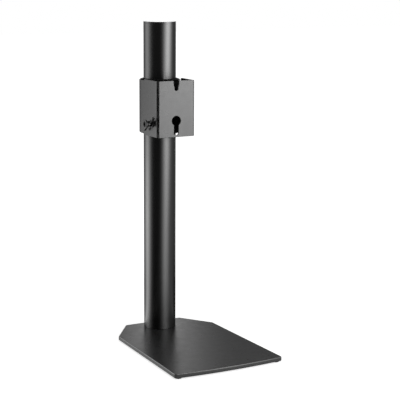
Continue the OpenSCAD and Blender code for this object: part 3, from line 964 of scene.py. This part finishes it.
class STAND_OT_sleeve(bpy.types.Operator):
    """Make the bracket as one flat cut sheet and fold it round the column"""
    bl_idname = "speaker_stand.sleeve"
    bl_label = "Bracket sheet"

    def execute(self, context):
        bracket = context.scene.speaker_stand.bracket
        strip = Strip(bracket)
        edge = eased(bracket.sheet, bracket.edge, bracket.edge, 3)
        screw_hole = round_hole(strip.left(AXIS.y - SCREW_AXIS.y), SCREW_AXIS.z, SCREW_HOLE, 32)
        body = flat_body([(rim, edge) for rim in (strip_rim(strip, bracket), keyhole_rim(bracket),
                                                  screw_hole)])
        # Stand the flat sheet up: along on x, depth on y, height on z
        upright = Matrix(((1, 0, 0), (0, 0, 1), (0, 1, 0)))
        bmesh.ops.transform(body, verts=body.verts, matrix=upright.to_4x4())
        turn_facing(body, upright)
        bmesh.ops.reverse_faces(body, faces=body.faces)
        for mark in strip.creases():
            bmesh.ops.bisect_plane(body, geom=body.verts[:] + body.edges[:] + body.faces[:],
                                   plane_co=(mark, 0, 0), plane_no=(1, 0, 0), dist=1e-8)
        bmesh.ops.recalc_face_normals(body, faces=body.faces)
        facing = body.verts.layers.float_vector["facing"]
        for vertex in body.verts:
            vertex[facing] = Matrix.Rotation(strip.turn(vertex.co.x), 3, "Z") @ vertex[facing]
        mesh = bpy.data.meshes.new("sleeve")
        body.to_mesh(mesh)
        body.free()
        mesh.shade_smooth()
        sleeve = add_object("sleeve", mesh)
        mesh = run_group(sleeve, folding_group(), finish_for("bracket_paint"), front=strip.front,
                         band_radius=strip.band, bend_radius=strip.bend,
                         curl_start=strip.curl_start, curl_radius=strip.curl)
        mesh.transform(Matrix.Translation((AXIS.x, AXIS.y, 0)))
        take_facing(mesh)
        settle(sleeve, "bracket", "bracket_paint", "bracket_front", "bracket_sleeve")
        return {"FINISHED"}


class STAND_OT_lug(bpy.types.Operator):
    """Make the folded lug inside the bracket and the weld nut on it"""
    bl_idname = "speaker_stand.lug"
    bl_label = "Clamp lug and nut"

    def execute(self, context):
        thick, inner, ease = 0.0025, 0.00125, 0.0003
        x, y = LUG_LOW.x, LUG_LOW.y
        far_x, far_y = LUG_HIGH.x, LUG_HIGH.y
        rim = rounded([(x, y, inner + thick), (far_x, y, ease), (far_x, y + thick, ease),
                       (x + thick, y + thick, inner), (x + thick, far_y, ease), (x, far_y, ease)])
        body = flat_body([(rim, eased(LUG_HIGH.z - LUG_LOW.z, ease, ease, 2))])
        lug = new_piece("lug", body, (0, 0, LUG_LOW.z), "bracket_paint")
        overrun = 0.002
        corners = [(x - overrun, SCREW_AXIS.y + p.x, SCREW_AXIS.z + p.y)
                   for p in round_hole(0, 0, SCREW_HOLE, 40)]
        mesh = bored(lug, "screw_hole", corners, (thick + 2 * overrun, 0, 0))
        mesh.set_sharp_from_angle(angle=radians(35))
        # The hole brings an empty slot with it
        dress(lug, "bracket_paint")
        settle(lug, "bracket", "bracket_paint", "clamp_lug")

        across, bore = 0.010, 0.00305
        nut = add_object("nut", nut_mesh(NUT_HIGH.x - NUT_LOW.x, across, bore))
        nut.data.transform(along_screw(NUT_HIGH.x))
        dress(nut, "bare_steel")
        settle(nut, "bracket", "bare_steel", "lug_nut")
        return {"FINISHED"}


def nut_mesh(tall, across, bore):
    """A hexagon nut whose corners are cut back to a cone at both ends."""
    body = bmesh.new()
    steps, ease = 72, 0.0003
    face_radius = across / 2 * 0.94
    columns = []
    for i in range(steps):
        a = 2 * pi * i / steps
        off = (a + pi / 6) % (pi / 3) - pi / 6
        reach = across / 2 / cos(off)
        lean = max(0.0, (reach - face_radius) * tan(radians(30)))
        section = [(bore, ease), (bore + ease, 0), (face_radius, 0), (reach, lean),
                   (reach, tall - lean), (face_radius, tall), (bore + ease, tall),
                   (bore, tall - ease)]
        columns.append([body.verts.new((r * cos(a), r * sin(a), z)) for r, z in section])
    join_round(body, columns)
    return finished_mesh("nut", body, False, radians(25))


# ---- Wing screw ----

def along_screw(start):
    """Matrix that lays an upright piece along the screw's axis, out of the left side."""
    return (Matrix.Translation((start, SCREW_AXIS.y, SCREW_AXIS.z))
            @ Matrix.Rotation(-pi / 2, 4, "Y"))


class STAND_OT_washer(bpy.types.Operator):
    """Make the plain washer under the grip"""
    bl_idname = "speaker_stand.washer"
    bl_label = "Washer"

    def execute(self, context):
        screw = context.scene.speaker_stand.wing_screw
        clearance, ease = 0.00005, 0.0002
        bore, radius = screw.thread / 2 + clearance, (WASHER_HIGH.y - WASHER_LOW.y) / 2
        tall = WASHER_HIGH.x - WASHER_LOW.x
        rim = rounded([(bore, 0, ease), (radius, 0, ease), (radius, tall, 2 * ease),
                       (bore, tall, ease)])
        washer = new_piece("washer", turned_body(rim, 72), (0, 0, 0), "blackened_steel")
        washer.data.transform(along_screw(WASHER_HIGH.x))
        settle(washer, "washer", "black_steel", "screw_washer")
        return {"FINISHED"}


class STAND_OT_shank(bpy.types.Operator):
    """Make the wing screw's threaded pin"""
    bl_idname = "speaker_stand.shank"
    bl_label = "Screw pin"

    def execute(self, context):
        screw = context.scene.speaker_stand.wing_screw
        radius, length = screw.thread / 2, SHANK_HIGH.x - SHANK_LOW.x
        rows_per_turn = 8
        rows = ceil(length / screw.pitch * rows_per_turn)
        heights = [length * i / rows for i in range(rows + 1)]
        rim = [Rim(0, 0, 0, -1, 1.0)] + [Rim(radius, z, 1, 0, 1.0) for z in heights]
        rim.append(Rim(0, length, 0, 1, 1.0))
        shank = add_object("shank", finished_mesh("shank", turned_body(rim, 40), False))
        mesh = run_group(shank, thread_group(), finish_for("bare_steel"), diameter=screw.thread,
                         pitch=screw.pitch, depth=screw.pitch * 0.54, length=length)
        mesh.transform(along_screw(SHANK_HIGH.x))
        mesh.shade_smooth()
        mesh.set_sharp_from_angle(angle=radians(50))
        settle(shank, "wing_screw", "bare_steel", "screw_shank")
        return {"FINISHED"}


def add_wing(body, screw, side, foot, high):
    """Adds one wing: a lobe that bends out of line and narrows into its rounded tip."""
    length, tip = screw.span / 2, screw.wing * 0.62
    rows, steps = 26, 20
    rings = []
    for i in range(rows + 1):
        share = i / rows
        run = length * share
        into_tip = max(0.0, 1 - (length - run) / tip)
        shrink = sqrt(max(0.0, 1 - into_tip ** 2))
        centre = Vector((run, screw.sweep * share ** 2, foot + high / 2))
        if shrink < 1e-3:
            rings.append([body.verts.new(side @ centre)])
            continue
        way = Vector((1, 2 * screw.sweep * share / length, 0)).normalized()
        across = Vector((-way.y, way.x, 0))
        # Thickest halfway out, and slightly lower towards the tip
        thick = screw.wing / 2 * (0.86 + 0.16 * sin(pi * min(1.0, share * 1.05))) * shrink
        tall = high / 2 * (1.0 - 0.06 * share) * (0.35 + 0.65 * shrink)
        ring = []
        for k in range(steps):
            a = 2 * pi * k / steps
            c, s = cos(a), sin(a)
            # Between an ellipse and a rectangle, so that the wing's faces are nearly flat
            flat = 1 / (abs(c) ** 4 + abs(s) ** 4) ** 0.25
            point = centre + across * (thick * c * flat) + Vector((0, 0, tall * s * flat))
            ring.append(body.verts.new(side @ point))
        rings.append(ring)
    body.faces.new(rings[0])
    for low, up in zip(rings, rings[1:]):
        for k in range(steps):
            j = (k + 1) % steps
            if len(up) == 1:
                body.faces.new((low[k], low[j], up[0]))
            else:
                body.faces.new((low[k], low[j], up[j], up[k]))


class STAND_OT_grip(bpy.types.Operator):
    """Make the wing grip: head, hub and two bent wings melted into one moulding"""
    bl_idname = "speaker_stand.grip"
    bl_label = "Wing grip"

    def execute(self, context):
        screw = context.scene.speaker_stand.wing_screw
        tall = GRIP_HIGH.x - GRIP_LOW.x
        head, hub = screw.head / 2, screw.hub / 2
        dish, deep, flange, flare = screw.head / 3, 0.0018, 0.0022, 0.0015
        wing_foot, wing_high = 0.0005, 0.005
        rim = rounded([(0, 0, 0), (hub, 0, 0.0003), (hub, tall - flange - flare, 0.0012),
                       (head, tall - flange, 0.0006), (head, tall, 0.0006), (dish, tall, 0.0004),
                       (dish - 0.0006, tall - deep, 0.0004), (0, tall - deep, 0)])
        body = turned_body(rim, 72)
        for turn in (pi / 2, -pi / 2):
            add_wing(body, screw, Matrix.Rotation(turn, 3, "Z"), wing_foot, wing_high)
        bmesh.ops.recalc_face_normals(body, faces=body.faces)
        grip = add_object("grip", finished_mesh("grip", body, False))
        melt = grip.modifiers.new("melt", "REMESH")
        melt.mode = "VOXEL"
        melt.voxel_size = 0.00028
        calm = grip.modifiers.new("calm", "SMOOTH")
        calm.factor = 0.5
        calm.iterations = 5
        mesh = plain_copy(grip)
        mesh.transform(along_screw(GRIP_HIGH.x) @ Matrix.Rotation(screw.tilt, 4, "Z"))
        mesh.shade_smooth()
        dress(grip, "grip_plastic")
        settle(grip, "wing_screw", "grip_plastic", "wing_grip")
        return {"FINISHED"}


# ---- Stage ----

def emission(tree, strength):
    """The socket of a white emission of the given strength."""
    return add_node(tree, "ShaderNodeEmission", {"Strength": strength}).outputs["Emission"]


def seen_rays(tree):
    """One for camera, glossy and transmission rays, and zero for the rest."""
    rays = tree.nodes.new("ShaderNodeLightPath")
    camera, gloss, glass = (Term(tree, rays.outputs[label]) for label in (
        "Is Camera Ray", "Is Glossy Ray", "Is Transmission Ray"))
    return camera.apply("MAXIMUM", gloss).apply("MAXIMUM", glass)


def floor_paper(stage):
    """Matt paper that camera, gloss and glass see as white, with the shadow kept round the stand."""
    material, tree, shown, place = blank_material("floor_paper")
    matt = add_node(tree, "ShaderNodeBsdfDiffuse", {"Color": (0.8, 0.8, 0.8, 1)})
    x, y, _ = terms_of(tree, place)
    away = ((x * x + y * y).apply("SQRT") - stage.shade_radius) / stage.shade_radius
    white = away.clamped(0.0, 1.0) * (1.0 - stage.floor_glow) + stage.floor_glow
    both = add_node(tree, "ShaderNodeAddShader", {0: matt.outputs["BSDF"],
                                                  1: emission(tree, white * seen_rays(tree))})
    tree.links.new(both.outputs["Shader"], shown)
    return material


def lamp_through(bearing, centre, half_width):
    """Share of a lamp's light that the cloth lets through, half of it at half_width to either side."""
    fall = log(0.5) / log(cos(radians(half_width)))
    return (bearing - radians(centre)).apply("COSINE").apply("MAXIMUM", 0.0).apply("POWER", fall)


def tent_cloth(stage):
    """The tent's cloth, roof and floor, as bright as the lamps outside and the paper make them."""
    material, tree, shown, place = blank_material("tent_cloth")
    x, y, height = terms_of(tree, place)
    bearing = (y - AXIS.y).apply("ARCTAN2", x - AXIS.x)
    # The middle of each lamp's light and half its width, in degrees
    front_lamp, back_lamp, side_lamp, rear_lamp = (280, 20), (149, 21), (330, 20), (63.6, 10)

    # The lamp in front leans over; its light grows upwards, and right above the floor as well
    lean, rise, most, fall, low_share = 0.8, 11.5, 4.7, 14.0, 1.6
    near_floor = (height * -fall + 1.0).clamped(0.0, 1.0) * low_share
    strength = (height * rise).clamped(0.0, most) + near_floor + 1.0
    front = lamp_through(bearing - height * lean, *front_lamp) * strength * stage.front_glow
    # The lamp behind on the left is brightest at one height and fades above and below it
    middle, reach, fade = 0.13, 0.16, 0.5
    off = (height - middle) / reach
    strength = (off * off * -fade + 1.0).clamped(1.0 - fade, 1.0)
    back = lamp_through(bearing, *back_lamp) * strength * stage.back_glow
    side = lamp_through(bearing, *side_lamp) * stage.side_glow
    # Between the lamps the cloth is palest behind on the right and under the roof, and dim by the floor
    palest, swing, roof, roof_share, edge, dimmest = radians(50), 0.2, 0.5, 1.2, 0.04, 0.1
    cloth = ((bearing - palest).apply("COSINE") * swing + (1.0 - swing)) * stage.tent_base
    rear = lamp_through(bearing, *rear_lamp) * stage.rear_glow + cloth
    rear = rear * (((height - roof) / edge).clamped(0.0, 1.0) * roof_share + 1.0)
    light = front + back + side + rear * (height / edge).clamped(dimmest, 1.0)
    # Paper round the plate
    margin, paper_y, half_depth, thin = 0.026, -0.034, 0.124, 0.002
    beside = x.apply("ABSOLUTE").apply("LESS_THAN", PLATE_HIGH.x + margin)
    along = (y - paper_y).apply("ABSOLUTE").apply("LESS_THAN", half_depth)
    paper = beside * along * height.apply("LESS_THAN", thin)
    light = light * (paper * -1.0 + 1.0) + paper * stage.paper_glow
    tree.links.new(emission(tree, light), shown)
    return material


def light_tent(stage):
    """A round tent with a floor and a roof, which only shows in the gloss of the stand."""
    body = bmesh.new()
    steps = 96
    rows = [[], []]
    for i in range(steps):
        a = 2 * pi * i / steps
        for row, height in zip(rows, (0.0005, stage.tent_height)):
            row.append(body.verts.new((AXIS.x + stage.tent_radius * cos(a),
                                       AXIS.y + stage.tent_radius * sin(a), height)))
    for i in range(steps):
        j = (i + 1) % steps
        body.faces.new((rows[0][i], rows[1][i], rows[1][j], rows[0][j]))
    body.faces.new(rows[0])
    body.faces.new(rows[1])
    mesh = bpy.data.meshes.new("light_tent")
    body.to_mesh(mesh)
    body.free()
    mesh.materials.append(tent_cloth(stage))
    tent = add_object("light_tent", mesh)
    tent.visible_camera = False
    tent.visible_diffuse = False
    tent.visible_shadow = False
    tent.visible_transmission = False


def soft_lamp(name, centre, width, height, aim, radiance):
    """A rectangular soft lamp aimed at a point; in the gloss the tent stands for it."""
    data = bpy.data.lights.new(name, "AREA")
    data.shape = "RECTANGLE"
    data.size = width
    data.size_y = height
    data.energy = radiance * width * height * pi
    lamp = bpy.data.objects.new(name, data)
    bpy.context.scene.collection.objects.link(lamp)
    lamp.location = centre
    lamp.rotation_euler = (Vector(aim) - Vector(centre)).to_track_quat("-Z", "Y").to_euler()
    lamp.visible_camera = False
    lamp.visible_glossy = False


def polar(bearing, distance, height):
    """A point at the bearing from the column's axis, counted from +X."""
    a = radians(bearing)
    return (AXIS.x + distance * cos(a), AXIS.y + distance * sin(a), height)


class STAND_OT_stage(bpy.types.Operator):
    """Make the camera, the pale floor, the white surroundings, the soft lamps and the tent"""
    bl_idname = "speaker_stand.stage"
    bl_label = "Stage"

    def execute(self, context):
        stage = context.scene.speaker_stand.stage
        scene = context.scene
        scene.view_settings.view_transform = "Standard"

        data = bpy.data.cameras.new("camera")
        data.sensor_width = 36.0
        data.lens = stage.lens
        data.clip_start, data.clip_end = 0.05, 50.0
        camera = bpy.data.objects.new("camera", data)
        scene.collection.objects.link(camera)
        camera.location = stage.camera_place
        turn = (Matrix.Rotation(stage.camera_turn, 3, "Z") @ Matrix.Rotation(stage.camera_tip, 3, "X")
                @ Matrix.Rotation(stage.camera_roll, 3, "Z"))
        camera.rotation_euler = turn.to_euler()
        scene.camera = camera

        mesh = bpy.data.meshes.new("floor")
        far = 8
        corners = [(-far, -far, 0), (far, -far, 0), (far, far, 0), (-far, far, 0)]
        mesh.from_pydata(corners, [], [(0, 1, 2, 3)])
        floor = add_object("floor", mesh)
        mesh.materials.append(floor_paper(stage))

        world = bpy.data.worlds.new("white_surroundings")
        scene.world = world
        world.use_nodes = True
        tree = world.node_tree
        tree.nodes.clear()
        dim, white = (add_node(tree, "ShaderNodeBackground", {"Color": (1, 1, 1, 1), "Strength": s})
                      for s in (stage.ambient, 1.0))
        mix = add_node(tree, "ShaderNodeMixShader", {0: seen_rays(tree), 1: dim.outputs["Background"],
                                                     2: white.outputs["Background"]})
        add_node(tree, "ShaderNodeOutputWorld", {"Surface": mix.outputs["Shader"]})

        tall = 0.84
        for name, bearing, width, radiance in (("front_lamp", 304, 0.55, stage.front_lamp),
                                               ("back_lamp", 143, 0.42, stage.back_lamp)):
            stands_at, aims_at = polar(bearing, 0.95, 0.45), polar(bearing, 0.2, 0.3)
            soft_lamp(name, stands_at, width, tall, aims_at, radiance)
        soft_lamp("top_lamp", (0, -0.1, 1.7), 1.6, 1.6, (0, 0, 0), stage.top_lamp)
        light_tent(stage)
        return {"FINISHED"}


# ---- Add-on ----

class StandSettings(bpy.types.PropertyGroup):
    """All settings of the speaker stand"""
    plate: bpy.props.PointerProperty(type=PlateSettings)
    column: bpy.props.PointerProperty(type=ColumnSettings)
    bracket: bpy.props.PointerProperty(type=BracketSettings)
    wing_screw: bpy.props.PointerProperty(type=WingScrewSettings)
    stage: bpy.props.PointerProperty(type=StageSettings)


STEPS = (STAND_OT_stage, STAND_OT_plate, STAND_OT_pads, STAND_OT_plate_screws, STAND_OT_column,
         STAND_OT_cap, STAND_OT_hidden_fixing, STAND_OT_bushes, STAND_OT_sleeve, STAND_OT_lug,
         STAND_OT_washer, STAND_OT_shank, STAND_OT_grip)


class STAND_PT_panel(bpy.types.Panel):
    """Lists the steps that build the stand"""
    bl_idname = "STAND_PT_panel"
    bl_label = "Speaker stand"
    bl_space_type = "VIEW_3D"
    bl_region_type = "UI"
    bl_category = "Stand"

    def draw(self, context):
        stand = context.scene.speaker_stand
        for step in STEPS:
            self.layout.operator(step.bl_idname)
        for group in (stand.plate, stand.column, stand.bracket, stand.wing_screw, stand.stage):
            box = self.layout.box()
            for key in group.bl_rna.properties.keys():
                if key not in ("rna_type", "name"):
                    box.prop(group, key)


CLASSES = (PlateSettings, ColumnSettings, BracketSettings, WingScrewSettings, StageSettings,
           StandSettings, *STEPS, STAND_PT_panel)


def register():
    """Registers the classes and the scene's settings."""
    for cls in CLASSES:
        bpy.utils.register_class(cls)
    bpy.types.Scene.speaker_stand = bpy.props.PointerProperty(type=StandSettings)


def unregister():
    """Removes the settings and the classes."""
    del bpy.types.Scene.speaker_stand
    for cls in reversed(CLASSES):
        bpy.utils.unregister_class(cls)


def main():
    """Builds the whole stand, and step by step."""
    register()
    for step in STEPS:
        group, action = step.bl_idname.split(".")
        getattr(getattr(bpy.ops, group), action)()


if __name__ == "__main__":
    main()
